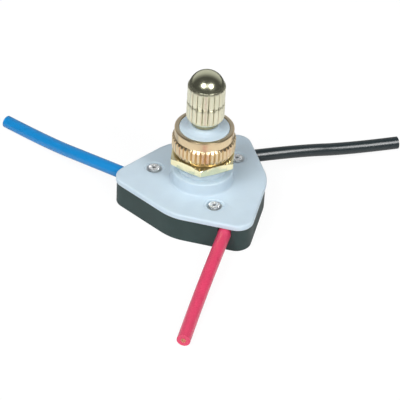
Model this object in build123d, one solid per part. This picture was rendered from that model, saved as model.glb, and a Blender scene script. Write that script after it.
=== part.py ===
from build123d import *
import os
from math import acos, atan2, cos, degrees, hypot, pi, radians, sin

# A rotary switch for a lamp or an appliance: a flat rounded-triangle housing, a threaded
# bushing with two brass nuts, a fluted knob, and three leads out of the housing's sides.
# The origin is on the shaft's axis at the underside of the housing, and +Z runs up the shaft.
# Lengths are in millimetres and angles in degrees, counted from +X.

# Housing outline: three rounded corners and three bulging sides
corner_angle = 181.7
corner_reach = 14.3
corner_round = 3.4
side_angle = 71.0
side_reach = 3.1
side_round = 10.4

# Base tray
base_height = 5.5
base_wall = 1.2
base_floor = 1.0
base_inset = 0.2
base_edge_chamfer = 0.3

# Cover plate with its boss, bushing and hub
cover_thickness = 1.2
cover_edge_chamfer = 0.25
boss_ledge = 1.24
boss_height = 2.9
boss_foot = 0.7
boss_edge_chamfer = 0.3
bushing_radius = 5.16
bushing_height = 10.1
bushing_edge_chamfer = 0.3
hub_radius = 3.2
hub_height = 0.9
hub_edge_chamfer = 0.25

# Tubular rivets, one beside each corner; the second stands nearer to the axis
rivet_reaches = [10.25, 9.45, 10.25]
rivet_angles = [-15.5, -14.4, -15.5]
rivet_shank_radius = 1.1
rivet_bore_radius = 0.6
rivet_head_radius = 1.6
rivet_head_height = 0.5
rivet_head_chamfer = 0.3
rivet_seat_radius = 2.1
rivet_top_seat = 0.15
rivet_bottom_seat = 0.6
rivet_boss_radius = 1.65

# Hexagon nut and knurled ring nut
panel_space = 2.5
hex_wall = 1.14
hex_thickness = 1.8
hex_corner_angle = -92.4
hex_chamfer_height = 0.3
ring_chamfer_low = 1.15
ring_knurl_height = 2.15
ring_chamfer_high = 0.5
ring_collar_height = 2.0
ring_collar_wall = 0.87
ring_knurl_wall = 1.29
ring_foot_wall = 0.74
ring_edge = 0.12
ring_teeth = 42
tooth_depth = 0.5
tooth_gap = 0.8

# Knob
knob_neck_radius = 2.9
knob_neck_height = 1.05
knob_foot_radius = 3.15
knob_foot_height = 1.0
knob_radius = 3.86
knob_low_band = 3.15
knob_groove_height = 0.4
knob_groove_depth = 0.25
knob_high_band = 3.8
knob_dome_radius = 3.68
knob_dome_sink = 0.8
knob_flutes = 20
flute_depth = 0.34
flute_width = 0.5
knob_bore_height = 6.65

# Shaft, thrust washer and rotor
shaft_radius = 1.5875
shaft_square = 2.4
shaft_collar_radius = 2.6
shaft_collar_height = 0.45
pivot_radius = 1.0
pivot_hole_floor = 0.5
pivot_boss_radius = 1.9
washer_radius = 2.9
washer_thickness = 0.3
rotor_radius = 5.4
rotor_rim_height = 0.6
rotor_floor_gap = 0.1
pivot_boss_height = 0.9
cam_across_flats = 7.8
cam_corner_radius = 5.2
detent_angle = 261.0
detent_step = 90.0

# Contact plate on the rotor and the tracks that the terminals wipe
plate_thickness = 0.3
plate_bore_radius = 2.2
plate_ring_radius = 3.6
plate_tab_radius = 5.1
plate_tab_width = 1.9
outer_track = 4.6
inner_track = 2.9

# Terminals with their spring fingers and tips
terminal_thickness = 0.4
terminal_width = 2.2
terminal_reach = 3.2
terminal_top_gap = 0.3
finger_width = 1.2
finger_foot = 3.2
finger_shift = 0.4
wiper_angle = 35.0
tip_size = 1.1
tip_height = 0.15

# Detent leaf springs and the posts that hold them
leaf_thickness = 0.25
leaf_height = 1.3
leaf_free_length = 3.2
post_reach = 8.2
post_length = 2.0
post_width = 1.8
post_top_gap = 0.3

# Leads
lead_diameter = 2.7
lead_offset = 8.4
lead_inside = 2.0
bend_share = 0.45
strand_radius = 0.5

# Clearances
running_gap = 0.05
seat_gap = 0.02
nut_gap = 0.05
knob_gap = 0.1
end_play = 0.05
lead_gap = 0.05

# Free route of each lead after its exit, straight off the wall and then down to the floor
lead_routes = {
    "blue": [(-24.3, 7.9, 4.05), (-33.5, 16.3, 1.5), (-43.0, 23.3, 1.38)],
    "red": [(3.0, -24.1, 4.05), (0.2, -34.2, 1.5), (-1.8, -44.2, 1.38)],
    "black": [(20.1, 14.8, 4.05), (31.3, 20.0, 1.5), (42.0, 23.4, 1.38)],
}

# Widths and heights that follow from the sizes above
boss_radius = bushing_radius + boss_ledge
nut_bore_radius = bushing_radius + running_gap
hex_across_flats = 2 * (nut_bore_radius + hex_wall)
ring_collar_radius = nut_bore_radius + ring_collar_wall
ring_knurl_radius = nut_bore_radius + ring_knurl_wall
ring_foot_radius = nut_bore_radius + ring_foot_wall
cover_top = base_height + cover_thickness
boss_top = cover_top + boss_height
bushing_top = boss_top + bushing_height
hub_top = bushing_top + hub_height
hex_bottom = boss_top + panel_space
hex_top = hex_bottom + hex_thickness
ring_bottom = hex_top + nut_gap
ring_height = ring_chamfer_low + ring_knurl_height + ring_chamfer_high + ring_collar_height
washer_top = base_height - end_play
collar_top = washer_top - washer_thickness
rotor_top = collar_top - shaft_collar_height
pivot_boss_top = base_floor + pivot_boss_height
rotor_bottom = pivot_boss_top + rotor_floor_gap
cam_bottom = rotor_bottom + rotor_rim_height
tip_top = rotor_bottom - running_gap
finger_top = tip_top - tip_height
knob_bottom = hub_top + knob_gap
lead_height = base_height - lead_gap - lead_diameter / 2
shaft_top = knob_bottom + knob_bore_height
UP = (Align.CENTER, Align.CENTER, Align.MIN)


def plan(radius, angle, height=0.0):
    """The point at that distance and angle from the axis."""
    return Vector(radius * cos(radians(angle)), radius * sin(radians(angle)), height)


def drum(radius, bottom, top):
    """A plain cylinder on the axis between two heights."""
    return Pos(0, 0, bottom) * Cylinder(radius, top - bottom, align=UP)


def turned(*profile):
    """The solid that a closed outline of (radius, height) points makes round the axis."""
    return revolve(Plane.XZ * make_face(Polyline(*profile, close=True)), Axis.Z)


def rod(start, direction, radius, length):
    """A cylinder that starts at a point and runs in a direction."""
    return Plane(origin=start, z_dir=direction) * Cylinder(radius, length, align=UP)


def vee_cutter(radius, depth, width, bottom, top):
    """A wedge at angle 0 that cuts one V-shaped valley into a round surface."""
    outside = radius + depth
    wedge = Polyline((radius - depth, 0), (outside, -width), (outside, width), close=True)
    return Pos(0, 0, bottom) * extrude(make_face(wedge), top - bottom)


def outline_circles(inset):
    """The circles that the housing's outline runs round, counter-clockwise."""
    circles = []
    for turn in (0, 120, 240):
        corner = plan(corner_reach, corner_angle + turn)
        side = plan(side_reach, corner_angle + side_angle + turn)
        circles.append((corner, corner_round - inset))
        circles.append((side, side_round - inset))
    return circles


def wall_normal(first, second):
    """The outward angle of the straight wall between two of the outline's circles."""
    (a, a_radius), (b, b_radius) = first, second
    distance = hypot(b.X - a.X, b.Y - a.Y)
    heading = degrees(atan2(b.Y - a.Y, b.X - a.X))
    return heading - degrees(acos((a_radius - b_radius) / distance))


def outline(inset):
    """The housing's outline as a face, moved inwards by inset."""
    circles = outline_circles(inset)
    count = len(circles)
    normals = [wall_normal(circles[i], circles[(i + 1) % count]) for i in range(count)]
    edges = []
    for i, (centre, radius) in enumerate(circles):
        next_centre, next_radius = circles[(i + 1) % count]
        sweep = (normals[i] - normals[i - 1]) % 360
        edges.append(CenterArc(centre, radius, normals[i - 1], sweep))
        edges.append(Line(centre + plan(radius, normals[i]), next_centre + plan(next_radius, normals[i])))
    return make_face(Wire(edges))


def rivet_places():
    """The three rivet positions, one beside each corner."""
    places = []
    for i, (reach, angle) in enumerate(zip(rivet_reaches, rivet_angles)):
        places.append(plan(reach, corner_angle + 120 * i + angle))
    return places


def lead_exit(index):
    """Where a lead's centre passes the outer face of the base's wall."""
    circles = outline_circles(base_inset)
    corner = circles[2 * index]
    normal = wall_normal(circles[2 * index - 1], corner)
    wall = corner[0].dot(plan(1, normal)) + corner[1]
    return plan(wall, normal) + plan(lead_offset, normal + 90) + Vector(0, 0, lead_height)


def make_lead(index, route):
    """One lead: its exit, its outward direction, and the points of its free route."""
    start = lead_exit(index)
    points = [start] + [Vector(*p) for p in route]
    outward = (points[1] - points[0]).normalized()
    return start, outward, points


def bend_radii(points):
    """The largest neat radius at each inner point of a route."""
    radii = []
    for before, here, after in zip(points, points[1:], points[2:]):
        arriving, leaving = here - before, after - here
        half_turn = radians(arriving.get_angle(leaving)) / 2
        radii.append(bend_share * min(arriving.length, leaving.length) * cos(half_turn) / sin(half_turn))
    return radii


def make_lead_tube(points):
    """The free part of a lead, a tube of straight runs joined by tangent arcs."""
    path = FilletPolyline(*points, radius=bend_radii(points))
    section = Plane(origin=points[0], z_dir=points[1] - points[0]) * Circle(lead_diameter / 2)
    return sweep(section, path=path), path.length


def make_base_tray(leads):
    """The moulded tray: walls, floor, rivet bosses, pivot boss, spring posts and lead notches."""
    tray = extrude(outline(base_inset), base_height)
    tray = chamfer(tray.faces().sort_by(Axis.Z)[0].edges(), base_edge_chamfer)
    tray -= Pos(0, 0, base_floor) * extrude(outline(base_inset + base_wall), base_height)
    tray += drum(pivot_boss_radius, base_floor / 2, pivot_boss_top)
    tray -= drum(pivot_radius + running_gap, pivot_hole_floor, pivot_boss_top + 1)
    for place in rivet_places():
        boss = Pos(place.X, place.Y, base_floor / 2) * Cylinder(
            rivet_boss_radius, base_height - base_floor / 2, align=UP
        )
        hole = Pos(place.X, place.Y, 0) * Cylinder(
            rivet_shank_radius + seat_gap, base_height, align=UP
        )
        seat = Pos(place.X, place.Y, 0) * Cylinder(rivet_seat_radius, rivet_bottom_seat, align=UP)
        tray += boss
        tray -= hole + seat
    for turn in (0, 180):
        tray += Rot(0, 0, detent_angle + turn) * make_spring_post()
    for start, outward, _ in leads:
        tray -= make_notch(start, outward)
    return tray


def make_notch(start, outward):
    """The cut that lets a lead through the wall: round below and open at the top."""
    heading = degrees(atan2(outward.Y, outward.X))
    across = Plane(origin=start, x_dir=plan(1, heading + 90), z_dir=plan(1, heading))
    shape = SlotCenterToCenter(base_height, lead_diameter + 2 * lead_gap, rotation=90)
    return extrude(across * Pos(0, base_height / 2) * shape, base_wall + 1, both=True)


def leaf_distance():
    """How far the middle of a leaf spring lies from the axis."""
    return cam_across_flats / 2 + seat_gap + leaf_thickness / 2


def make_spring_post():
    """One slotted post, where the angle of its cam flat is 0."""
    bottom = base_floor / 2
    top = base_height - post_top_gap
    post = Pos(leaf_distance(), post_reach, bottom) * Box(
        post_width, post_length, top - bottom, align=UP
    )
    slot = Pos(leaf_distance(), post_reach, cam_bottom) * Box(
        leaf_thickness + 2 * seat_gap, post_length + 1, base_height, align=UP
    )
    return post - slot


def make_detent_springs():
    """Two leaf springs that rest on opposite flats of the cam."""
    length = leaf_free_length + post_reach + post_length / 2
    middle = length / 2 - leaf_free_length
    leaf = Pos(leaf_distance(), middle, cam_bottom + running_gap) * Box(
        leaf_thickness, length, leaf_height, align=UP
    )
    leaf = fillet(leaf.edges().filter_by(Axis.X).group_by(Axis.Y)[0], leaf_height / 3)
    return Compound(children=[Rot(0, 0, detent_angle + turn) * leaf for turn in (0, 180)])


def make_cover():
    """The moulded cover: plate, boss, bushing and hub in one piece, bored for the shaft."""
    plate = Pos(0, 0, base_height) * extrude(outline(0), cover_thickness)
    plate = chamfer(plate.faces().sort_by(Axis.Z)[-1].edges(), cover_edge_chamfer)
    tower = turned(
        (0, base_height),
        (boss_radius + boss_foot, base_height),
        (boss_radius + boss_foot, cover_top),
        (boss_radius + boss_foot / 3, cover_top + boss_foot / 3),
        (boss_radius, cover_top + boss_foot),
        (boss_radius, boss_top - boss_edge_chamfer),
        (boss_radius - boss_edge_chamfer, boss_top),
        (bushing_radius, boss_top),
        (bushing_radius, bushing_top - bushing_edge_chamfer),
        (bushing_radius - bushing_edge_chamfer, bushing_top),
        (hub_radius, bushing_top),
        (hub_radius, hub_top - hub_edge_chamfer),
        (hub_radius - hub_edge_chamfer, hub_top),
        (0, hub_top),
    )
    cover = plate + tower
    cover -= drum(shaft_radius + running_gap, base_height - 1, hub_top + 1)
    for place in rivet_places():
        hole = Pos(place.X, place.Y, 0) * Cylinder(
            rivet_shank_radius + seat_gap, cover_top + 1, align=UP
        )
        seat = Pos(place.X, place.Y, cover_top - rivet_top_seat) * Cylinder(
            rivet_seat_radius, 1, align=UP
        )
        cover -= hole + seat
    return cover


def make_rivets():
    """Three tubular rivets, rolled over at both ends."""
    low_seat = rivet_bottom_seat
    high_seat = cover_top - rivet_top_seat
    rivet = turned(
        (rivet_bore_radius, low_seat - rivet_head_height),
        (rivet_head_radius, low_seat - rivet_head_height),
        (rivet_head_radius, low_seat),
        (rivet_shank_radius, low_seat),
        (rivet_shank_radius, high_seat),
        (rivet_head_radius, high_seat),
        (rivet_head_radius - rivet_head_chamfer, high_seat + rivet_head_height),
        (rivet_bore_radius + rivet_head_chamfer, high_seat + rivet_head_height),
        (rivet_bore_radius, high_seat + rivet_head_height - rivet_head_chamfer),
    )
    return Compound(children=[Pos(p.X, p.Y, 0) * rivet for p in rivet_places()])


def make_hex_nut():
    """A thin hexagon nut with chamfered top corners."""
    corner = hex_across_flats / 2 / cos(radians(30))
    blank = extrude(RegularPolygon(corner, 6, rotation=hex_corner_angle), hex_thickness)
    crown = turned(
        (0, 0),
        (corner, 0),
        (corner, hex_thickness - hex_chamfer_height),
        (hex_across_flats / 2, hex_thickness),
        (0, hex_thickness),
    )
    nut = Pos(0, 0, hex_bottom) * (blank & crown)
    return nut - drum(nut_bore_radius, hex_bottom - 1, hex_top + 1)


def make_ring_nut():
    """A ring nut with a smooth collar above a band of coarse straight knurls."""
    knurl_low = ring_bottom + ring_chamfer_low
    knurl_high = knurl_low + ring_knurl_height
    collar_low = knurl_high + ring_chamfer_high
    top = ring_bottom + ring_height
    ring = turned(
        (nut_bore_radius, ring_bottom),
        (ring_foot_radius, ring_bottom),
        (ring_knurl_radius, knurl_low),
        (ring_knurl_radius, knurl_high),
        (ring_collar_radius, collar_low),
        (ring_collar_radius, top - ring_edge),
        (ring_collar_radius - ring_edge, top),
        (nut_bore_radius + ring_edge, top),
        (nut_bore_radius, top - ring_edge),
    )
    valley = vee_cutter(ring_knurl_radius, tooth_depth, tooth_gap, ring_bottom - 1, collar_low)
    return ring - [Rot(0, 0, 360 / ring_teeth * i) * valley for i in range(ring_teeth)]


def make_knob():
    """A turned knob: neck, two fluted bands with a groove between them, and a dome."""
    foot = knob_bottom + knob_neck_height
    low = foot + knob_foot_height
    groove = low + knob_low_band
    high = groove + knob_groove_height
    shoulder = high + knob_high_band
    body = turned(
        (0, knob_bottom),
        (knob_neck_radius, knob_bottom),
        (knob_neck_radius, foot),
        (knob_foot_radius, foot),
        (knob_radius, low),
        (knob_radius, groove),
        (knob_radius - knob_groove_depth, groove),
        (knob_radius - knob_groove_depth, high),
        (knob_radius, high),
        (knob_radius, shoulder),
        (0, shoulder),
    )
    flute = vee_cutter(knob_radius, flute_depth, flute_width, foot, shoulder)
    body -= [Rot(0, 0, 360 / knob_flutes * (i + 0.5)) * flute for i in range(knob_flutes)]
    body += Pos(0, 0, shoulder - knob_dome_sink) * Sphere(knob_dome_radius, arc_size1=0, align=UP)
    return body - drum(shaft_radius + seat_gap, knob_bottom - 1, shaft_top + seat_gap)


def make_shaft():
    """The shaft: pivot, squared drive for the rotor, thrust collar and stem up into the knob."""
    square = extrude(Rectangle(shaft_square, shaft_square) & Circle(shaft_radius), rotor_top - rotor_bottom)
    shaft = Pos(0, 0, rotor_bottom) * Rot(0, 0, detent_angle) * square
    shaft += drum(pivot_radius, pivot_hole_floor + rotor_floor_gap, rotor_bottom)
    shaft += drum(shaft_collar_radius, rotor_top, collar_top)
    shaft += drum(shaft_radius, collar_top, shaft_top)
    return shaft


def make_thrust_washer():
    """The washer between the shaft's collar and the cover."""
    return drum(washer_radius, collar_top, washer_top) - drum(shaft_radius + running_gap, 0, base_height)


def plate_shape(margin):
    """The contact plate's face: a full ring with a tab for each live position, plus a margin."""
    red = corner_angle + 120 + wiper_angle
    blue = corner_angle + wiper_angle
    live = [red - detent_step, blue - 2 * detent_step, red - 3 * detent_step, blue - 3 * detent_step]
    shape = Circle(plate_ring_radius + margin)
    for angle in live:
        reach = plate_tab_radius + margin
        tab = Pos(reach / 2, 0) * Rectangle(reach, plate_tab_width + 2 * margin)
        shape += Rot(0, 0, angle) * tab
    return shape - Circle(plate_bore_radius - margin)


def make_contact_plate():
    """The copper plate let into the rotor's underside."""
    return Pos(0, 0, rotor_bottom) * extrude(plate_shape(0), plate_thickness)


def make_rotor():
    """The insulating carrier: a round rim below and a four-sided detent cam above."""
    rotor = drum(rotor_radius, rotor_bottom, cam_bottom)
    cam = Rectangle(cam_across_flats, cam_across_flats) & Circle(cam_corner_radius)
    rotor += Pos(0, 0, cam_bottom) * Rot(0, 0, detent_angle) * extrude(cam, rotor_top - cam_bottom)
    rotor -= Pos(0, 0, rotor_bottom) * extrude(plate_shape(seat_gap), plate_thickness)
    opening = Rectangle(shaft_square + 2 * seat_gap, shaft_square + 2 * seat_gap)
    opening &= Circle(shaft_radius + seat_gap)
    return rotor - Rot(0, 0, detent_angle) * extrude(opening, base_height)


def make_terminal(start, outward, index, track):
    """A stamped terminal: an upright lug for the lead and a spring finger under the rotor."""
    inward = outward * -1
    heading = degrees(atan2(inward.Y, inward.X))
    lug_place = start + inward * terminal_reach
    lug_height = base_height - terminal_top_gap - base_floor
    lug = Pos(lug_place.X, lug_place.Y, base_floor) * Rot(0, 0, heading) * Box(
        terminal_thickness, terminal_width, lug_height, align=UP
    )
    lug -= rod(start, inward, strand_radius + seat_gap, terminal_reach + 1)
    foot = lug_place + plan(finger_shift, heading - 90)
    tip = plan(track, corner_angle + 120 * index + wiper_angle)
    run = hypot(tip.X - foot.X, tip.Y - foot.Y)
    end = run + tip_size / 2
    profile = Polyline(
        (0, base_floor),
        (finger_foot, base_floor),
        (run - tip_size / 2, finger_top - terminal_thickness),
        (end, finger_top - terminal_thickness),
        (end, finger_top),
        (run - tip_size / 2, finger_top),
        (finger_foot, base_floor + terminal_thickness),
        (0, base_floor + terminal_thickness),
        close=True,
    )
    finger = extrude(Plane.XZ * make_face(profile), finger_width / 2, both=True)
    turn = degrees(atan2(tip.Y - foot.Y, tip.X - foot.X))
    terminal = lug + Pos(foot.X, foot.Y, 0) * Rot(0, 0, turn) * finger
    contact = Pos(tip.X, tip.Y, finger_top) * Rot(0, 0, turn) * Box(
        tip_size, finger_width, tip_height, align=UP
    )
    return terminal, contact


def make_conductor(start, outward):
    """The bare strands from the end of the insulation through the terminal's lug."""
    length = terminal_reach + 2 * terminal_thickness - lead_inside
    return rod(start - outward * lead_inside, outward * -1, strand_radius, length)


lead_names = ["blue", "red", "black"]
leads = [make_lead(i, lead_routes[name]) for i, name in enumerate(lead_names)]
tracks = {"blue": outer_track, "red": outer_track, "black": inner_track}

nodes = {
    "base_tray": make_base_tray(leads),
    "cover": make_cover(),
    "rivets": make_rivets(),
    "hex_nut": make_hex_nut(),
    "ring_nut": make_ring_nut(),
    "knob": make_knob(),
    "shaft": make_shaft(),
    "thrust_washer": make_thrust_washer(),
    "rotor": make_rotor(),
    "contact_plate": make_contact_plate(),
    "detent_springs": make_detent_springs(),
}
tips = []
for i, name in enumerate(lead_names):
    start, outward, points = leads[i]
    tube, length = make_lead_tube(points)
    terminal, tip = make_terminal(start, outward, i, tracks[name])
    tips.append(tip)
    nodes[name + "_lead"] = tube
    nodes[name + "_lead_root"] = rod(start, outward * -1, lead_diameter / 2, lead_inside)
    nodes[name + "_strands"] = make_conductor(start, outward)
    nodes[name + "_terminal"] = terminal
    section = pi * (lead_diameter / 2) ** 2
    print(name, "lead: radii", [round(r, 1) for r in bend_radii(points)], "length", round(length, 2))
    print(name, "lead: volume over section times length", round(tube.volume / section / length, 5))
nodes["contact_tips"] = Compound(children=tips)

os.makedirs("parts", exist_ok=True)
for name, shape in nodes.items():
    export_step(shape, "parts/" + name + ".step")
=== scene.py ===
# %% [markdown]
# A rotary switch of the kind that sits in a lamp's canopy: a flat rounded-triangle housing, a
# threaded bushing with two brass nuts, a small fluted knob and three insulated leads.
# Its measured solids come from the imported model. This script dresses them: each visible piece gets
# the rounded edges, thread and knurls that the real one has, and a finish made of shader nodes.
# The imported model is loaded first, because everything below is placed by it. The lengths of the
# switch are written in millimetres and turned into Blender's metres when a mesh is made. The
# camera, the floor and the lamps are written in metres.

# %% Load the measured model
from math import acos, asin, atan2, cos, degrees, hypot, pi, radians, sin, sqrt

import bmesh
import bpy
from mathutils import Euler, Matrix, Vector
from mathutils.geometry import tessellate_polygon


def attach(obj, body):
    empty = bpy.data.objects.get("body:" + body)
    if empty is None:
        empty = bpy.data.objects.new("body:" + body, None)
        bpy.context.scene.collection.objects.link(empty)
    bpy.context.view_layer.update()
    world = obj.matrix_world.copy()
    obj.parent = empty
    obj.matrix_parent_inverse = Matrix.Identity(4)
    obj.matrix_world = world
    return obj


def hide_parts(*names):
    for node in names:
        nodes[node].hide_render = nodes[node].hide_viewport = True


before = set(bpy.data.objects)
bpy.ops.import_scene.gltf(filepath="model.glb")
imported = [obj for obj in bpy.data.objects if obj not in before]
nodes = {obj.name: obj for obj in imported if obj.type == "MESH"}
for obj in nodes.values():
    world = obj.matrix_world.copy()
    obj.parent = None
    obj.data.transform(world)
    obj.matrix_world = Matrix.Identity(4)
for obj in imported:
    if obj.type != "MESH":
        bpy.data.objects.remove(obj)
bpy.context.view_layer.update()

print("nodes:", len(nodes))

# %% [markdown]
# The camera. The photograph was taken from the front, 37 degrees above the table, with a long lens
# some 39 centimetres away, and the picture leans about three degrees clockwise. A long lens keeps
# the two sides of the knob nearly parallel. The roll is a turn about the camera's own line of sight,
# and the small shift frames the object where the photograph has it.

# %% Camera
TARGET = Vector((0, 0, 0.0086))
CAMERA_PLACE = Vector((0, -0.31415, 0.24559))
CAMERA_ROLL = 3.13

camera_data = bpy.data.cameras.new("camera")
camera_data.sensor_width = 36
camera_data.lens = 172.35
camera_data.shift_x = -0.0056
camera_data.shift_y = -0.0744
camera_data.clip_start = 0.01
camera_data.clip_end = 20
camera = bpy.data.objects.new("camera", camera_data)
bpy.context.scene.collection.objects.link(camera)
camera.location = CAMERA_PLACE
look = (TARGET - CAMERA_PLACE).to_track_quat("-Z", "Y")
camera.rotation_mode = "QUATERNION"
camera.rotation_quaternion = look @ Euler((0, 0, radians(CAMERA_ROLL))).to_quaternion()
bpy.context.scene.camera = camera
print("camera is", round((CAMERA_PLACE - TARGET).length * 1000), "mm away")

# %% [markdown]
# Rings. Nearly every part of this switch is round or prismatic, so its mesh can be made of rings of
# points that are joined by faces. A modelling operator such as a boolean would also cut the shapes,
# but rings keep the faces regular and let an edge be rounded by adding a few rings. These helpers
# make a ring, join two rings, and fill a flat face that has holes.

# %% Rings of points
MM = 0.001


def polar(radius, angle):
    """A flat point at a radius in millimetres and an angle in degrees."""
    return Vector((radius * cos(radians(angle)), radius * sin(radians(angle))))


def ring(mesh, points, height):
    """Mesh points at one height, or at a height each."""
    heights = height if isinstance(height, list) else [height] * len(points)
    return [mesh.verts.new((p[0] * MM, p[1] * MM, z * MM)) for p, z in zip(points, heights)]


def join(mesh, lower, upper):
    """A band of faces between two rings with the same number of points."""
    for i in range(len(lower)):
        k = (i + 1) % len(lower)
        mesh.faces.new((lower[i], lower[k], upper[k], upper[i]))


def fill(mesh, outer, holes=()):
    """A flat face inside one ring and outside the others."""
    points = list(outer) + [v for hole in holes for v in hole]
    loops = [[v.co for v in outer]] + [[v.co for v in hole] for hole in holes]
    for triangle in tessellate_polygon(loops):
        mesh.faces.new([points[i] for i in triangle])


print("rings can be made, joined and filled; a millimetre is", MM, "m")

# %% [markdown]
# Profiles. A turned part is one profile of radius and height that goes round an axis, as on a lathe.
# Its corners are rounded first by short curves, because no real edge is quite sharp, and the thin
# light line on a rounded edge is what makes a part look solid. The thread, teeth and flutes come
# from a function that moves each point by its angle. Blender's Screw modifier would turn a profile
# too, but it can't change it on the way round.

# %% Rounded and turned profiles
LONGEST_CUT = 0.45


def rounded(profile, radius, steps=3):
    """A profile of (radius, height) points with its inner corners rounded.

    A corner takes at most the share LONGEST_CUT of the sides beside it.
    """
    smooth = [Vector(profile[0])]
    for before, here, after in zip(profile, profile[1:], profile[2:]):
        before, here, after = Vector(before), Vector(here), Vector(after)
        shorter = min((here - before).length, (after - here).length)
        cut = min(radius, LONGEST_CUT * shorter)
        start = here + (before - here).normalized() * cut
        end = here + (after - here).normalized() * cut
        for i in range(steps + 1):
            t = i / steps
            smooth.append(start * (1 - t) ** 2 + here * 2 * t * (1 - t) + end * t**2)
    return smooth + [Vector(profile[-1])]


def straight(start, end, steps):
    """Profile points at equal steps from one point to another, without the first."""
    return [tuple(a + (b - a) * i / steps for a, b in zip(start, end)) for i in range(1, steps + 1)]


def turned(mesh, profile, steps, shape=None, centre=(0, 0), start=0):
    """Rings that follow a profile round a centre. shape changes (radius, height) by angle."""
    rings = []
    for radius, height in profile:
        points, heights = [], []
        for i in range(steps):
            angle = start + 360 * i / steps
            r, z = shape(radius, height, angle) if shape else (radius, height)
            points.append(Vector(centre) + polar(r, angle))
            heights.append(z)
        rings.append(ring(mesh, points, heights))
    for lower, upper in zip(rings, rings[1:]):
        join(mesh, lower, upper)
    return rings


print("profiles can be rounded and turned")

# %% [markdown]
# From a mesh to a piece. Points that lie on each other are merged and all faces are turned outwards.
# Each edge that bends by more than an angle stays sharp, and the rest is shaded smooth. The piece
# then rides on one body of the switch, so that it moves with that body in every pose.

# %% Finished meshes
SAME_POINT = 1e-7


def finish_mesh(mesh, name, body, sharp=30):
    """Turns the rings into an object with smooth faces and sharp edges, and lets it ride."""
    bmesh.ops.remove_doubles(mesh, verts=mesh.verts, dist=SAME_POINT)
    bmesh.ops.recalc_face_normals(mesh, faces=mesh.faces)
    data = bpy.data.meshes.new(name)
    mesh.to_mesh(data)
    mesh.free()
    data.polygons.foreach_set("use_smooth", [True] * len(data.polygons))
    data.set_sharp_from_angle(angle=radians(sharp))
    piece = bpy.data.objects.new(name, data)
    bpy.context.scene.collection.objects.link(piece)
    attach(piece, body)
    print(name, "has", len(data.polygons), "faces and rides on", body)
    return piece


print("points closer than", SAME_POINT, "m are merged")

# %% [markdown]
# Finishes. A single flat colour looks like a drawing, because real moulded plastic is faintly
# cloudy and real turned brass has fine rings and small changes of tint. Each finish starts from the
# same shader. Noise textures then change its colour a little, its roughness, and its surface by a
# few thousandths of a millimetre. The texture is read in the object's own space, so it keeps its
# scale and turns with the piece.

# %% Noise in a finish
def shader_node(tree, kind, **values):
    """A new shader node. Each value goes to the input of its name."""
    made = tree.nodes.new("ShaderNode" + kind)
    for name, value in values.items():
        made.inputs[name.replace("_", " ")].default_value = value
    return made


def shader_input(material, name):
    """An input of a material's own shader."""
    return material.node_tree.nodes["Principled BSDF"].inputs[name]


def new_finish(name, **values):
    """A material whose shader has these uniform values."""
    material = bpy.data.materials.new(name)
    material.use_nodes = True
    for socket, value in values.items():
        shader_input(material, socket.replace("_", " ")).default_value = value
    return material


def grain(material, scale, stretch=(1, 1, 1), detail=3.0):
    """A noise texture in the object's space. scale is features per millimetre."""
    tree = material.node_tree
    place = shader_node(tree, "TexCoord")
    mapping = shader_node(tree, "Mapping", Scale=[s * scale / MM for s in stretch])
    texture = shader_node(tree, "TexNoise", Scale=1.0, Detail=detail)
    tree.links.new(place.outputs["Object"], mapping.inputs["Vector"])
    tree.links.new(mapping.outputs["Vector"], texture.inputs["Vector"])
    return texture


def tint(material, texture, colour, spread):
    """The base colour runs from a little darker to a little lighter with the noise."""
    tree = material.node_tree
    ramp = shader_node(tree, "ValToRGB")
    dark, light = ramp.color_ramp.elements
    dark.position, light.position = 0.3, 0.7
    dark.color = (*[max(0, c * (1 - spread)) for c in colour], 1)
    light.color = (*[min(1, c * (1 + spread)) for c in colour], 1)
    tree.links.new(texture.outputs["Fac"], ramp.inputs["Fac"])
    tree.links.new(ramp.outputs["Color"], shader_input(material, "Base Color"))


def gloss(material, texture, low, high):
    """The roughness runs from low to high with the noise."""
    tree = material.node_tree
    span = shader_node(tree, "MapRange", To_Min=low, To_Max=high)
    tree.links.new(texture.outputs["Fac"], span.inputs["Value"])
    tree.links.new(span.outputs["Result"], shader_input(material, "Roughness"))


def relief(material, texture, height):
    """The noise raises the surface by up to this height in millimetres."""
    tree = material.node_tree
    bump = shader_node(tree, "Bump", Distance=height * MM, Strength=1.0)
    tree.links.new(texture.outputs["Fac"], bump.inputs["Height"])
    tree.links.new(bump.outputs["Normal"], shader_input(material, "Normal"))


print("noise can tint, dull and raise a surface")

# %% [markdown]
# Plastic and metal. The switch needs only these two families. Moulded plastic has wide faint clouds
# and a fine satin skin. Turned metal has the cutting tool's rings round the axis: the same noise
# gives them when it is squeezed along the axis and stretched across it.

# %% Plastic and metal
def plastic(name, colour, roughness, spread=0.04, bump=0.004, scale=1.2, **values):
    """Moulded plastic: faint clouds in the colour, and a fine satin surface."""
    material = new_finish(name, **values)
    clouds = grain(material, scale / 4)
    tint(material, clouds, colour, spread)
    skin = grain(material, scale * 6, detail=2.0)
    gloss(material, skin, roughness - 0.06, roughness + 0.06)
    relief(material, skin, bump)
    return material


def turned_metal(
    name, colour, roughness, spread=0.05, bump=0.003, stretch=(0.4, 0.4, 9), metallic=1.0
):
    """Metal from a lathe: fine rings round the axis and small changes of tint."""
    material = new_finish(name, Metallic=metallic)
    clouds = grain(material, 0.35)
    tint(material, clouds, colour, spread)
    rings = grain(material, 1.0, stretch)
    gloss(material, rings, roughness * 0.75, roughness * 1.25)
    relief(material, rings, bump)
    return material


def wear(piece, material):
    """Gives a piece its only material."""
    piece.data.materials.clear()
    piece.data.materials.append(material)


def wear_on(piece, material, chosen):
    """Gives one more finish to the faces whose middle, in millimetres, is chosen."""
    piece.data.materials.append(material)
    for face in piece.data.polygons:
        if chosen(face.center / MM):
            face.material_index = len(piece.data.materials) - 1


print("plastic and turned metal are ready")

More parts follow.
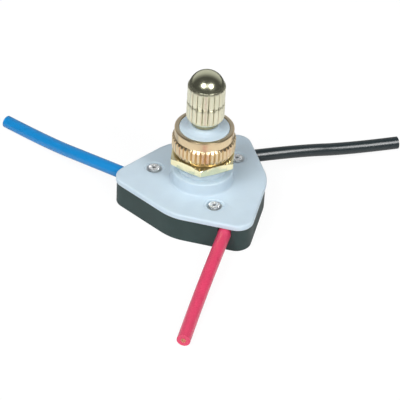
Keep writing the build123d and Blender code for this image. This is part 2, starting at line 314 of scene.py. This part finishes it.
# %% [markdown]
# The three leads. Each is ordinary stranded lamp wire, 2.7 mm over its vinyl, that comes straight
# out of the housing, bends down under its own weight and then lies on the table. The photograph
# shows each one from the housing to its cut end. A curve is the right tool, because its thickness
# is one number and its line stays smooth. The route's points repeat the measured lead's. They are
# control points of a NURBS spline, which passes near them without kinks. The half thickness is each
# point's radius, and the bevel depth that it multiplies is 1, because Blender adds the radius to a
# curve's bounding box.

# %% Vinyl finishes
vinyl = {
    "blue": plastic("blue_vinyl", (0.007, 0.235, 0.585), 0.30, bump=0.0015, scale=1.5),
    "red": plastic("red_vinyl", (0.73, 0.057, 0.140), 0.28, bump=0.0015, scale=1.5),
    "black": plastic("black_vinyl", (0.006, 0.011, 0.013), 0.31, bump=0.001, scale=1.5),
}
print("vinyl:", ", ".join(vinyl))

# %% Lead routes
LEAD_DIAMETER = 2.7
routes = {
    "blue": [(-15.47, 3.00, 4.1), (-24.3, 7.9, 4.05), (-33.5, 16.3, 1.5), (-43.0, 23.3, 1.38)],
    "red": [(5.13, -14.90, 4.1), (3.0, -24.1, 4.05), (0.2, -34.2, 1.5), (-1.8, -44.2, 1.38)],
    "black": [(10.33, 11.89, 4.1), (20.1, 14.8, 4.05), (31.3, 20.0, 1.5), (42.0, 23.4, 1.38)],
}


def lead_curve(name, route):
    """A NURBS curve along a lead's route, with round sides and flat ends."""
    data = bpy.data.curves.new(name, "CURVE")
    data.dimensions = "3D"
    data.bevel_resolution = 7
    data.use_fill_caps = True
    spline = data.splines.new("NURBS")
    spline.points.add(len(route) - 1)
    for point, place in zip(spline.points, route):
        point.co = (*[v * MM for v in place], 1)
        point.radius = LEAD_DIAMETER / 2 * MM
    spline.order_u = 3
    spline.use_endpoint_u = True
    spline.resolution_u = 16
    lead = bpy.data.objects.new(name, data)
    bpy.context.scene.collection.objects.link(lead)
    return lead


def centreline(lead):
    """The points of a lead's line, read from its curve before it has a thickness."""
    line = bpy.data.meshes.new_from_object(lead)
    points = [v.co.copy() for v in line.vertices]
    bpy.data.meshes.remove(line)
    return points


print("routes:", {colour: len(route) for colour, route in routes.items()}, "points")

# %% [markdown]
# A lead's cut end. A cut wire shows a ring of vinyl round a bundle of copper strands, cut flush.
# Seven short strands, one in the middle and six round it, are enough at this size. They stand a
# hair proud of the vinyl, so that they are seen, and are turned to the direction of the lead's end.

# %% Cut strands
STRAND_RADIUS, STRAND_REACH, STRAND_TURN = 0.17, 0.36, 12
STRAND_DEPTH, STRAND_RISE = 0.6, 0.06
copper = turned_metal("bare_copper", (0.72, 0.38, 0.22), 0.3, stretch=(2, 2, 2))


def cut_strands(name, end, direction):
    """Seven copper strands that show in a lead's cut end."""
    mesh = bmesh.new()
    strand = [(STRAND_RADIUS, -STRAND_DEPTH), (STRAND_RADIUS, STRAND_RISE / 2)]
    strand.append((STRAND_RADIUS - 0.04, STRAND_RISE))
    places = [(0, 0)] + [polar(STRAND_REACH, 60 * k + STRAND_TURN) for k in range(6)]
    for place in places:
        rings = turned(mesh, strand, steps=10, centre=place)
        fill(mesh, rings[-1])
        fill(mesh, rings[0])
    turn = direction.to_track_quat("Z", "Y").to_matrix().to_4x4()
    bmesh.ops.transform(mesh, matrix=Matrix.Translation(end) @ turn, verts=mesh.verts)
    return finish_mesh(mesh, name, "housing")


print("strands are", 2 * STRAND_RADIUS, "mm thick")

# %% Leads
for colour, route in routes.items():
    lead = lead_curve(colour + "_wire", route)
    line = centreline(lead)
    strands = cut_strands(colour + "_cut_strands", line[-1], (line[-1] - line[-2]).normalized())
    wear(strands, copper)
    lead.data.bevel_depth = 1.0
    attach(lead, "housing")
    wear(lead, vinyl[colour])
    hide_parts(colour + "_lead")
    wear(nodes[colour + "_lead_root"], vinyl[colour])
    wear(nodes[colour + "_strands"], copper)

# %% [markdown]
# The housing's outline. Seen from above, the housing is a triangle with rounded corners and sides
# that bulge, turned a little, so it is not symmetric to the viewer. Six circles carry the outline:
# a small one in each corner and a large one behind each side, joined by straight tangents. Working
# the points out from the circles gives an outline that can be shrunk evenly, which rounds an edge.

# %% Housing outline
CORNER_REACH, CORNER_RADIUS, CORNER_ANGLE = 14.3, 3.4, 181.7
SIDE_REACH, SIDE_RADIUS, SIDE_TURN = 3.1, 10.4, 71
ARC_STEPS = 10


def outline(inset):
    """Points round the housing, moved inwards by inset, all in millimetres."""
    circles = []
    for turn in (0, 120, 240):
        circles.append((polar(CORNER_REACH, CORNER_ANGLE + turn), CORNER_RADIUS - inset))
        circles.append((polar(SIDE_REACH, CORNER_ANGLE + SIDE_TURN + turn), SIDE_RADIUS - inset))
    normals = []
    for i, (a, a_radius) in enumerate(circles):
        b, b_radius = circles[(i + 1) % len(circles)]
        heading = degrees(atan2(b[1] - a[1], b[0] - a[0]))
        normals.append(heading - degrees(acos((a_radius - b_radius) / hypot(*(b - a)))))
    points = []
    for i, (centre, radius) in enumerate(circles):
        sweep = (normals[i] - normals[i - 1]) % 360
        for k in range(ARC_STEPS + 1):
            points.append(centre + polar(radius, normals[i - 1] + sweep * k / ARC_STEPS))
    return points


RIVET_REACHES, RIVET_ANGLES = (10.25, 9.45, 10.25), (166.2, 287.3, 46.2)
rivet_places = [polar(reach, angle) for reach, angle in zip(RIVET_REACHES, RIVET_ANGLES)]
print("outline has", len(outline(0)), "points and goes round", len(rivet_places), "rivets")

# %% [markdown]
# The cover. On the real switch the plate, its boss and the threaded bushing are one moulding in
# bluish-white nylon. The plate is made of outlines that step in at the rounded top edge. Its top is
# filled flat between the edge, the boss and three shallow rivet recesses. The bushing's thread is a
# ridge that climbs as it goes round: each ring's radius is moved in and out by a wave whose phase
# depends on the angle and the height. A modifier could twist a thread too, but this stays one skin.

# %% Cover sizes and thread
COVER_BOTTOM, COVER_TOP, RIVET_SEAT = 5.5, 6.7, 6.55
BOSS_RADIUS, BOSS_TOP = 6.4, 9.6
BUSHING_RADIUS, BUSHING_TOP = 5.16, 19.7
HUB_RADIUS, HUB_TOP = 3.2, 20.55
SHAFT_BORE, RIVET_HOLE = 1.64, 1.12
THREAD_PITCH, THREAD_DEPTH, THREAD_FADE = 0.94, 0.28, 0.5
THREAD_TOP = BUSHING_TOP - 0.3


def thread(radius, height, angle):
    """Sinks the bushing's skin into a rounded thread that fades out at its two ends."""
    if abs(radius - BUSHING_RADIUS) > 0.001:
        return radius, height
    from_end = min(height - BOSS_TOP - 0.1, THREAD_TOP - 0.05 - height)
    fade = max(0, min(1, from_end / THREAD_FADE))
    wave = 0.5 - 0.5 * cos(2 * pi * (height / THREAD_PITCH - angle / 360))
    return radius - THREAD_DEPTH * fade * wave**1.5, height


print("thread has", round((THREAD_TOP - BOSS_TOP) / THREAD_PITCH, 1), "turns")

# %% Boss, bushing and hub
BOSS_FOOT = [(0.75, 0), (0.32, 0.10), (0.10, 0.32), (0, 0.75)]
ROWS_PER_TURN = 9


def bushing_profile():
    """The boss, bushing and hub from the plate up, and in to the shaft's bore."""
    foot = [(BOSS_RADIUS + out, COVER_TOP + up) for out, up in BOSS_FOOT]
    shoulder = [foot[-1], (BOSS_RADIUS, BOSS_TOP), (BUSHING_RADIUS + 0.1, BOSS_TOP)]
    span = THREAD_TOP - BOSS_TOP
    rows = int(span / THREAD_PITCH * ROWS_PER_TURN)
    screw = [(BUSHING_RADIUS, BOSS_TOP + span * i / rows) for i in range(rows + 1)]
    end = [
        (BUSHING_RADIUS - 0.03, BUSHING_TOP - 0.25),
        (BUSHING_RADIUS - 0.05, BUSHING_TOP),
        (HUB_RADIUS + 0.75, BUSHING_TOP),
        (HUB_RADIUS + 0.1, BUSHING_TOP + 0.35),
        (HUB_RADIUS - 0.2, HUB_TOP),
        (SHAFT_BORE, HUB_TOP),
        (SHAFT_BORE, COVER_BOTTOM),
    ]
    return foot + rounded(shoulder, 0.35, 4)[1:] + screw + rounded(end, 0.28, 4)


print("bushing's profile has", len(bushing_profile()), "points")

# %% [markdown]
# The cover's skin. The rings of the plate, of the rivet holes and of the bushing meet in two flat
# fills, one on the plate's top and one under it. The bushing's first point is turned by a degree or
# so, because points of the bore and of a rivet hole in one line would leave a sliver in the fill.

# %% Cover mesh
PLATE_EDGE = [(0.12, 0), (0, 0.12), (0, 0.85), (0.03, 1.0), (0.12, 1.12), (0.28, 1.2), (0.55, 1.2)]
BUSHING_START = 1.3

mesh = bmesh.new()
edge_rings = [ring(mesh, outline(inset), COVER_BOTTOM + rise) for inset, rise in PLATE_EDGE]
for lower, upper in zip(edge_rings, edge_rings[1:]):
    join(mesh, lower, upper)
recess = [(2.25, COVER_TOP), (2.12, COVER_TOP), (2.0, RIVET_SEAT), (RIVET_HOLE, RIVET_SEAT)]
recess = rounded(recess, 0.12) + [(RIVET_HOLE, COVER_BOTTOM)]
top_holes, bottom_holes = [], []
for place in rivet_places:
    rings = turned(mesh, recess, steps=48, centre=place)
    top_holes.append(rings[0])
    bottom_holes.append(rings[-1])
rings = turned(mesh, bushing_profile(), steps=96, shape=thread, start=BUSHING_START)
fill(mesh, edge_rings[-1], top_holes + [rings[0]])
fill(mesh, edge_rings[0], bottom_holes + [rings[-1]])
cover = finish_mesh(mesh, "cover_and_bushing", "housing")

# %% Cover finish
nylon = plastic(
    "bluish_white_nylon", (0.59, 0.71, 0.80), 0.36, spread=0.025, bump=0.003,
    Subsurface_Weight=0.25, Subsurface_Scale=0.0012, Subsurface_Radius=(0.8, 0.9, 1.0),
    Specular_IOR_Level=0.45,
)
wear(cover, nylon)
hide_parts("cover")
print("cover wears", nylon.name)

# %% [markdown]
# The base. The dark tray under the cover is moulded in a tougher black-green plastic with a satin
# skin. Its measured solid already has the right walls, notches and inner posts, so it stays and
# only gets its finish.

# %% Base finish
base_plastic = plastic(
    "dark_green_grey_moulding", (0.036, 0.060, 0.058), 0.50, spread=0.08, bump=0.006,
    Specular_IOR_Level=0.22,
)
wear(nodes["base_tray"], base_plastic)
print("base tray keeps its measured shape and wears", base_plastic.name)

# %% [markdown]
# The rivets. Each is a thin bright tube whose end has been rolled over by a star-shaped punch, so
# its lip is split into petals. A ring with five notches cut into it by angle gives that. The bright
# petals and the dark bore between them are what the eye sees in the photograph.

# %% Rivet shape
RIVET_BORE, RIVET_SHANK, RIVET_HEAD = 0.6, 1.1, 1.6
RIVET_FOOT, RIVET_FOOT_TOP = 0.1, 0.6
PETALS, NOTCH_WIDTH, NOTCH_DEPTH = 5, 0.24, 0.22
LIP_START, LIP_WIDTH = 0.4, 0.9


def petals(radius, height, angle):
    """Splits the rolled lip of a rivet into its petals."""
    if height < RIVET_SEAT + 0.05 or radius < LIP_START:
        return radius, height
    half = 180 / PETALS
    from_notch = abs((angle % (2 * half)) - half) / half
    notch = max(0, 1 - from_notch / NOTCH_WIDTH)
    lip = min(1, (radius - LIP_START) / LIP_WIDTH)
    return radius, height - NOTCH_DEPTH * notch * sin(pi * lip) - 0.05 * notch * lip


rolled_lip = [
    (RIVET_BORE, 6.0), (0.42, 6.5), (0.36, 6.75), (0.42, 6.91), (0.58, 7.01), (0.78, 7.04),
    (0.98, 7.00), (1.16, 6.90), (1.30, 6.76), (1.42, 6.66), (RIVET_HEAD, 6.63),
    (RIVET_HEAD, RIVET_SEAT),
]
shank_and_foot = [
    (RIVET_SHANK, RIVET_SEAT), (RIVET_SHANK, RIVET_FOOT_TOP), (RIVET_HEAD, RIVET_FOOT_TOP),
    (RIVET_HEAD, RIVET_FOOT + 0.1), (RIVET_HEAD - 0.1, RIVET_FOOT), (RIVET_BORE, RIVET_FOOT),
]
rivet_profile = [(RIVET_BORE, RIVET_FOOT)] + rolled_lip + shank_and_foot
print("a rivet's profile has", len(rivet_profile), "points")

# %% Rivets
mesh = bmesh.new()
for place in rivet_places:
    turned(mesh, rivet_profile, steps=80, shape=petals, centre=place)
rivets = finish_mesh(mesh, "rolled_rivets", "housing", sharp=40)

# %% [markdown]
# The rivets' finish. The petals and the flat rim round them are the same bright plated steel. The
# rim's faces get a rougher finish and a darker colour of their own, and the darker colour is painted
# shade: the shadow that rings each rivet in its recess.

# %% Rivet finish
BRIGHT_RADIUS = 1.2


def on_rivet_rim(place):
    """Whether a place is outside the bright petals of all three rivets."""
    return min((place.to_2d() - middle).length for middle in rivet_places) > BRIGHT_RADIUS


bright_plate = turned_metal(
    "bright_plated_steel", (0.93, 0.95, 0.97), 0.22, bump=0.004, stretch=(3, 3, 3), metallic=0.6
)
# The rim's darker colour is painted shade, the shadow that rings each rivet.
rim_shade_plate = turned_metal("rim_shade_plated_steel", (0.62, 0.68, 0.72), 0.50, stretch=(3, 3, 3))
wear(rivets, bright_plate)
wear_on(rivets, rim_shade_plate, on_rivet_rim)
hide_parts("rivets")
print("rivets wear", bright_plate.name, "and", rim_shade_plate.name)

# %% [markdown]
# The hexagon nut. A hexagon's outer radius changes with the angle, so the same rings can be pulled
# out to six corners. Real nuts are chamfered by a cone, which leaves a curved edge on each flat:
# the edges drop by more the further a corner reaches. In the profile, a radius one millimetre
# beyond the flats stands for the full hexagon, and less stands for a part of the way.

# %% Hexagon nut
NUT_BORE, BORE_CHAMFER = 5.21, 0.25
HEX_BOTTOM, HEX_TOP, HEX_FLAT = 12.1, 13.9, 6.35
HEX_TURN, HEX_CHAMFER = -92.4, 0.3
HEX_CORNER = HEX_FLAT / cos(radians(30))
HEX_FULL = HEX_FLAT + 1
EDGE_IN, EDGE_UP = 0.06, 0.05


def hexagon(radius, height, angle):
    """Pulls the outer rings out to the hexagon and chamfers their edges at the corners."""
    if radius < HEX_FLAT:
        return radius, height
    toward = (angle - HEX_TURN) % 60 - 30
    reach = HEX_FLAT / cos(radians(toward))
    out = HEX_FLAT + (reach - HEX_FLAT) * (radius - HEX_FLAT)
    drop = HEX_CHAMFER * (out - HEX_FLAT) / (HEX_CORNER - HEX_FLAT)
    middle = (HEX_BOTTOM + HEX_TOP) / 2
    return out, height - drop if height > middle else height + drop * 0.5


hex_profile = [
    (NUT_BORE, HEX_BOTTOM + BORE_CHAMFER), (NUT_BORE + BORE_CHAMFER, HEX_BOTTOM),
    (HEX_FLAT - 0.05, HEX_BOTTOM), (HEX_FULL - EDGE_IN, HEX_BOTTOM), (HEX_FULL, HEX_BOTTOM + EDGE_UP),
    (HEX_FULL, HEX_TOP - EDGE_UP), (HEX_FULL - EDGE_IN, HEX_TOP), (HEX_FLAT - 0.05, HEX_TOP),
    (NUT_BORE + BORE_CHAMFER, HEX_TOP), (NUT_BORE, HEX_TOP - BORE_CHAMFER),
    (NUT_BORE, HEX_BOTTOM + BORE_CHAMFER),
]
mesh = bmesh.new()
turned(mesh, hex_profile, steps=360, shape=hexagon)
hex_nut = finish_mesh(mesh, "hexagon_nut", "hex_nut", sharp=20)
pale_brass = turned_metal("pale_brass", (0.97, 0.91, 0.60), 0.17)
wear(hex_nut, pale_brass)
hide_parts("hex_nut")
print("hexagon nut is", 2 * HEX_FLAT, "mm across its flats")

# %% [markdown]
# The knurled ring nut. A smooth collar stands on a band of 42 straight teeth that a knurling wheel
# has pressed into the brass. Both ends of the band are bevelled, so the valleys open dark under the
# collar and the teeth end in a dotted row below. The depth of a valley depends only on the angle,
# and a ring is never pushed in further than the valley's floor.

# %% Ring nut shape
RING_BOTTOM, KNURL_LOW, KNURL_HIGH, COLLAR_LOW, RING_TOP = 13.95, 15.1, 17.25, 17.75, 19.75
KNURL_FOOT_RADIUS, KNURL_RADIUS, COLLAR_RADIUS = 5.95, 6.5, 6.08
TEETH, TOOTH_DEPTH, VALLEY_HALF = 42, 0.40, 0.24


def teeth(radius, height, angle):
    """Cuts the straight teeth into the knurled band."""
    if height > COLLAR_LOW + 0.01 or radius < NUT_BORE + 0.3:
        return radius, height
    pitch = 2 * pi * KNURL_RADIUS / TEETH
    from_valley = abs((angle * TEETH / 360 + 0.5) % 1 - 0.5) * pitch
    floor = KNURL_RADIUS - TOOTH_DEPTH * max(0, 1 - from_valley / VALLEY_HALF)
    return min(radius, floor), height


foot, low = (KNURL_FOOT_RADIUS, RING_BOTTOM), (KNURL_RADIUS, KNURL_LOW)
high, root = (KNURL_RADIUS, KNURL_HIGH), (COLLAR_RADIUS, COLLAR_LOW)
band = [foot] + straight(foot, low, 4) + straight(low, high, 4) + straight(high, root, 4)
collar = [
    (COLLAR_RADIUS, COLLAR_LOW + 0.02), (COLLAR_RADIUS, RING_TOP), (NUT_BORE + 0.12, RING_TOP),
    (NUT_BORE, RING_TOP - 0.15), (NUT_BORE, RING_BOTTOM),
]
ring_profile = band + rounded(collar, 0.32, 6) + [foot]
print("ring nut's profile has", len(ring_profile), "points")

# %% Ring nut
mesh = bmesh.new()
turned(mesh, ring_profile, steps=12 * TEETH, shape=teeth)
ring_nut = finish_mesh(mesh, "knurled_ring_nut", "ring_nut", sharp=24)
warm_brass = turned_metal("warm_turned_brass", (0.82, 0.65, 0.41), 0.30)
# The ring's flat top gets a darker, rougher brass. Its darker colour is painted shade.
shaded_top_brass = turned_metal("shaded_top_brass", (0.64, 0.55, 0.40), 0.38)
wear(ring_nut, warm_brass)
wear_on(ring_nut, shaded_top_brass, lambda place: place.z > RING_TOP - 0.02)
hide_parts("ring_nut")
print("ring nut has", TEETH, "teeth and wears", warm_brass.name, "and", shaded_top_brass.name)

# %% [markdown]
# The knob. It is turned from brass and bright plated: a short neck, two bands of twenty broad
# flutes with a groove between them, and a polished dome that mirrors the studio. Each flute is a
# broad, slightly crowned ridge with a narrow dark valley on both sides, and its ends are rounded
# off, so the bands have scalloped edges.

# %% Knob flutes
KNOB_BOTTOM, FOOT, LOW, GROOVE, HIGH, SHOULDER = 20.7, 21.75, 22.75, 25.95, 26.25, 30.1
KNOB_RADIUS, FOOT_RADIUS, DOME_RADIUS, DOME_MIDDLE = 3.86, 3.15, 3.68, 29.3
NECK_RADIUS, FLUTES, VALLEY_DEPTH, CROWN_DEPTH = 2.8, 20, 0.26, 0.05
SCALLOP_DEPTH, LOW_SCALLOP, HIGH_SCALLOP = 0.20, 0.45, 0.35


def flutes(radius, height, angle):
    """Cuts the narrow valleys between the knob's broad ridges."""
    if height < FOOT + 0.02 or height > SHOULDER + 0.01 or radius < NECK_RADIUS + 0.1:
        return radius, height
    across = abs((angle * FLUTES / 360 + 0.5) % 1 - 0.5) * 2
    valley = VALLEY_DEPTH * across**6 + CROWN_DEPTH * across**2
    if height < LOW:
        valley *= max(0, (height - FOOT) / (LOW - FOOT)) ** 0.5
    from_groove = min(abs(height - GROOVE) / LOW_SCALLOP, abs(height - HIGH) / HIGH_SCALLOP)
    from_end = min(1, from_groove, (SHOULDER + 0.02 - height) / HIGH_SCALLOP)
    scallop = SCALLOP_DEPTH * (1 - max(0, from_end)) ** 2 * across**2
    above = max(0, height - DOME_MIDDLE)
    dome = sqrt(max(0, DOME_RADIUS**2 - above**2)) if above else 0
    return max(dome, min(radius, KNOB_RADIUS - valley - scallop)), height


print("knob has", FLUTES, "flutes")

# %% Knob profile
GROOVE_DEPTH = 0.13
SHOULDER_EDGE = [(0.06, 0.26), (0.10, 0.13), (0.15, 0.05), (0.20, 0.01), (0.26, -0.01)]


def knob_profile():
    """The knob from the middle of its underside up to the tip of its dome."""
    neck = [(0, KNOB_BOTTOM), (NECK_RADIUS - 0.2, KNOB_BOTTOM)]
    neck += [(NECK_RADIUS - 0.05, KNOB_BOTTOM + 0.12), (NECK_RADIUS, FOOT - 0.08)]
    neck += [(NECK_RADIUS + 0.25, FOOT)]
    flare = []
    for i in range(8):
        out = (KNOB_RADIUS - FOOT_RADIUS) * sin(pi / 2 * i / 7)
        flare.append((FOOT_RADIUS + out, FOOT + 0.02 + (LOW - FOOT) * (i / 7) ** 1.3))
    lower = [(KNOB_RADIUS, LOW + 0.03 + (GROOVE - LOW) * i / 12) for i in range(1, 12)]
    groove = [(KNOB_RADIUS - 0.02, GROOVE), (KNOB_RADIUS - GROOVE_DEPTH, GROOVE + 0.01)]
    groove += [(KNOB_RADIUS - GROOVE_DEPTH, HIGH - 0.06), (KNOB_RADIUS - 0.07, HIGH)]
    rise = SHOULDER - 0.5 - HIGH
    upper = [(KNOB_RADIUS - 0.04, HIGH + 0.05 + rise * i / 12) for i in range(13)]
    edge = [(KNOB_RADIUS - inset, SHOULDER - drop) for inset, drop in SHOULDER_EDGE]
    first = asin((SHOULDER + 0.03 - DOME_MIDDLE) / DOME_RADIUS)
    arc = [first + (pi / 2 - first) * i / 24 for i in range(25)]
    dome = [(DOME_RADIUS * cos(a), DOME_MIDDLE + DOME_RADIUS * sin(a)) for a in arc]
    return neck + flare + lower + groove + upper + edge + dome


print("knob's profile has", len(knob_profile()), "points")

# %% Knob mesh
mesh = bmesh.new()
turned(mesh, knob_profile(), steps=18 * FLUTES, shape=flutes)
knob = finish_mesh(mesh, "fluted_knob", "knob_and_rotor", sharp=35)

# %% [markdown]
# The knob's finish. The ridges and the dome are bright plated brass. The neck, the valleys and the
# small step under the dome get a darker, rougher brass, and the darker colour is painted shade: the
# neck lies under the knob's foot, the valleys are creases between the ridges, and on the step the
# dark colour covers a thin highlight line. One plated brass in four grades gives that, and each
# grade is put on by where a face lies.

# %% Knob finish
VALLEY_TOP = KNOB_RADIUS - 0.14


def on_dome(place):
    """Whether a place is on the polished dome."""
    return place.z > SHOULDER + 0.015


# The neck under the knob gets painted shade.
def on_neck(place):
    """Whether a place is on the neck, below the flutes."""
    return place.z < FOOT - 0.02


# The valleys and the step under the dome get painted shade.
def in_valley(place):
    """Whether a place is in a valley between two ridges, or on the step under the dome."""
    step = place.z > SHOULDER - 0.14
    deep = place.z > LOW and hypot(*place.xy) < VALLEY_TOP
    return (step or deep) and not on_dome(place)


plated_brass = turned_metal("plated_pale_brass", (0.90, 0.88, 0.67), 0.30)
polished = turned_metal(
    "polished_pale_brass", (0.82, 0.83, 0.60), 0.22, spread=0.02, bump=0.0006
)
# Painted shade for the neck under the knob.
neck_shade_brass = turned_metal("neck_shade_brass", (0.50, 0.46, 0.29), 0.50)
# Painted shade for the valleys and the step under the dome.
crease_shade_brass = turned_metal("painted_shade_brass", (0.62, 0.61, 0.46), 0.40)
wear(knob, plated_brass)
wear_on(knob, polished, on_dome)
wear_on(knob, neck_shade_brass, on_neck)
wear_on(knob, crease_shade_brass, in_valley)
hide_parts("knob")
print("knob wears", ", ".join(material.name for material in knob.data.materials))

# %% [markdown]
# The working parts inside. They hardly show, but a switch without them would be an empty shell, and
# they are seen when the cover is hidden. Their measured solids stay, each with the finish of its
# real material.

# %% Inner parts
steel = turned_metal("spring_steel", (0.56, 0.57, 0.58), 0.28)
phenolic = plastic("brown_phenolic", (0.20, 0.10, 0.055), 0.45, spread=0.12, bump=0.01)
stamped_brass = turned_metal("stamped_brass", (0.80, 0.62, 0.30), 0.3, stretch=(2, 2, 2))
silver = turned_metal("silver_tip", (0.85, 0.85, 0.83), 0.25, stretch=(3, 3, 3))
inner = {
    "shaft": steel, "thrust_washer": steel, "detent_springs": steel, "rotor": phenolic,
    "contact_plate": copper, "contact_tips": silver,
    "blue_terminal": stamped_brass, "red_terminal": stamped_brass, "black_terminal": stamped_brass,
}
for name, material in inner.items():
    wear(nodes[name], material)
print("inner parts:", len(inner))

# %% [markdown]
# The floor. The photograph has a white table that runs on without an edge. A plane would do, but a
# large disc reaches equally far on all sides. It isn't a part of the switch.

# %% Floor
floor_mesh = bpy.data.meshes.new("floor")
mesh = bmesh.new()
bmesh.ops.create_circle(mesh, cap_ends=True, segments=96, radius=3.0)
mesh.to_mesh(floor_mesh)
mesh.free()
floor = bpy.data.objects.new("floor", floor_mesh)
bpy.context.scene.collection.objects.link(floor)
print("floor is a disc of", len(floor_mesh.vertices), "points")

# %% [markdown]
# The table's finish. The camera should see it white without more light on the switch, so for the
# camera it glows by itself, and the share that doesn't glow keeps the object's soft shadow. What
# metal mirrors of it is its lit surface with a painted pool of light: its colour is painted white
# near the switch and fades to dark grey a few centimetres away. An evenly white table would make
# the dome and the knurls flat and bright.

# %% Table finish
POOL_RADIUS, POOL_END, POOL_GREY = 0.040, 0.075, 0.12
GLOW_SHARE = 0.88

table = bpy.data.materials.new("white_table")
table.use_nodes = True
tree = table.node_tree
tree.nodes.clear()
link = tree.links.new
paint = shader_node(tree, "BsdfDiffuse", Color=(0.80, 0.81, 0.82, 1))
glow = shader_node(tree, "Emission", Strength=1.05)
mirrored = shader_node(tree, "BsdfDiffuse")
place = shader_node(tree, "TexCoord")
away = shader_node(tree, "VectorMath")
away.operation = "LENGTH"
# Painted pool of light: for mirrored rays the table's colour fades from white near the switch to grey
# further away.
pool = shader_node(
    tree, "MapRange", From_Min=POOL_RADIUS, From_Max=POOL_END, To_Min=1.0, To_Max=POOL_GREY
)
pool.interpolation_type = "SMOOTHSTEP"
rays = shader_node(tree, "LightPath")
either = shader_node(tree, "Math")
either.operation = "MAXIMUM"
glow_share = shader_node(tree, "Math")
glow_share.operation = "MULTIPLY"
glow_share.inputs[1].default_value = GLOW_SHARE
camera_mix = shader_node(tree, "MixShader")
mirror_mix = shader_node(tree, "MixShader")
surface = shader_node(tree, "OutputMaterial")
link(place.outputs["Object"], away.inputs[0])
link(away.outputs["Value"], pool.inputs["Value"])
link(pool.outputs["Result"], mirrored.inputs["Color"])
link(rays.outputs["Is Glossy Ray"], either.inputs[0])
link(rays.outputs["Is Transmission Ray"], either.inputs[1])
link(rays.outputs["Is Camera Ray"], glow_share.inputs[0])
link(glow_share.outputs["Value"], camera_mix.inputs["Fac"])
link(paint.outputs["BSDF"], camera_mix.inputs[1])
link(glow.outputs["Emission"], camera_mix.inputs[2])
link(either.outputs["Value"], mirror_mix.inputs["Fac"])
link(camera_mix.outputs["Shader"], mirror_mix.inputs[1])
link(mirrored.outputs["BSDF"], mirror_mix.inputs[2])
link(mirror_mix.outputs["Shader"], surface.inputs["Surface"])
floor.data.materials.append(table)
print("floor wears", table.name)

# %% [markdown]
# The room. The knob's dome mirrors nearly the whole room, so the room decides how dark it looks.
# The camera sees white all round. Other surfaces get a weak even light. Metal mirrors a dark room
# that grows lighter towards the backdrop behind the switch, which gives the dome its pale crown
# and dark sides.

# %% World
EVEN_LIGHT, DARK_ROOM, PALE_BACKDROP = 0.12, 0.07, 0.58

world = bpy.data.worlds.new("studio")
bpy.context.scene.world = world
world.use_nodes = True
tree = world.node_tree
link = tree.links.new
background = tree.nodes["Background"]
background.inputs["Color"].default_value = (1, 1, 1, 1)
direction = shader_node(tree, "TexCoord")
split = shader_node(tree, "SeparateXYZ")
behind = shader_node(
    tree, "MapRange", From_Min=0.15, From_Max=0.90, To_Min=DARK_ROOM, To_Max=PALE_BACKDROP
)
behind.interpolation_type = "SMOOTHSTEP"
rays = shader_node(tree, "LightPath")
mirrored_room = shader_node(tree, "Mix", A=EVEN_LIGHT)
seen_room = shader_node(tree, "Mix", B=1.0)
link(direction.outputs["Generated"], split.inputs["Vector"])
link(split.outputs["Y"], behind.inputs["Value"])
link(behind.outputs["Result"], mirrored_room.inputs["B"])
link(rays.outputs["Is Glossy Ray"], mirrored_room.inputs["Factor"])
link(mirrored_room.outputs["Result"], seen_room.inputs["A"])
link(rays.outputs["Is Camera Ray"], seen_room.inputs["Factor"])
link(seen_room.outputs["Result"], background.inputs["Strength"])
print("world is", world.name)

# %% [markdown]
# The lamps. Two soft boxes beside the camera make the two bright spots on the dome, and a weak wide
# sheet between them gives the brass its sheen. Two fills and a sheet overhead light the plastic,
# and metal doesn't mirror them, because more bright spots would spoil the dome.

# %% Soft boxes
def soft_box(name, elevation, side, width, height, power, distance=0.8, mirrored=True):
    """An area lamp that looks at the switch. side is its angle from the camera's side."""
    data = bpy.data.lights.new(name, "AREA")
    data.shape = "ELLIPSE"
    data.size, data.size_y = width, height
    data.energy = power
    lamp = bpy.data.objects.new(name, data)
    bpy.context.scene.collection.objects.link(lamp)
    up, turn = radians(elevation), radians(side)
    lamp.location = Vector((sin(turn) * cos(up), -cos(turn) * cos(up), sin(up))) * distance
    lamp.rotation_mode = "QUATERNION"
    lamp.rotation_quaternion = (TARGET - lamp.location).to_track_quat("-Z", "Y")
    lamp.visible_glossy = mirrored
    return lamp


soft_box("left_box", elevation=42, side=-27, width=0.28, height=0.30, power=1.6)
soft_box("right_box", elevation=38, side=36, width=0.28, height=0.30, power=1.8)
soft_box("middle_sheet", elevation=44, side=8, width=0.62, height=0.26, power=0.40)
soft_box("left_fill", elevation=48, side=-48, width=0.30, height=0.34, power=2.0, mirrored=False)
soft_box("right_fill", elevation=48, side=46, width=0.30, height=0.34, power=1.0, mirrored=False)
soft_box(
    "top_sheet", elevation=80, side=0, width=0.6, height=0.6, power=1.2, distance=0.9, mirrored=False
)

# %% [markdown]
# The black lead's bright line. A dark round wire shows its shape only by what it mirrors, and in
# the photograph a bright line runs along the whole black lead. One more lamp draws it. It is linked
# to that lead alone, since the dome would mirror it as a third bright spot.

# %% Strip for the black lead
lead_strip = soft_box("lead_strip", elevation=45, side=57, width=0.60, height=0.36, power=7.5)
lit_by_strip = bpy.data.collections.new("lit_by_strip")
lit_by_strip.objects.link(bpy.data.objects["black_wire"])
lead_strip.light_linking.receiver_collection = lit_by_strip

# %% [markdown]
# The view. Blender's default view softens bright colours like a film. The Standard view shows each
# colour as it is written, so the finishes can be compared with the photograph.

# %% View
bpy.context.scene.view_settings.view_transform = "Standard"
print("view is", bpy.context.scene.view_settings.view_transform)
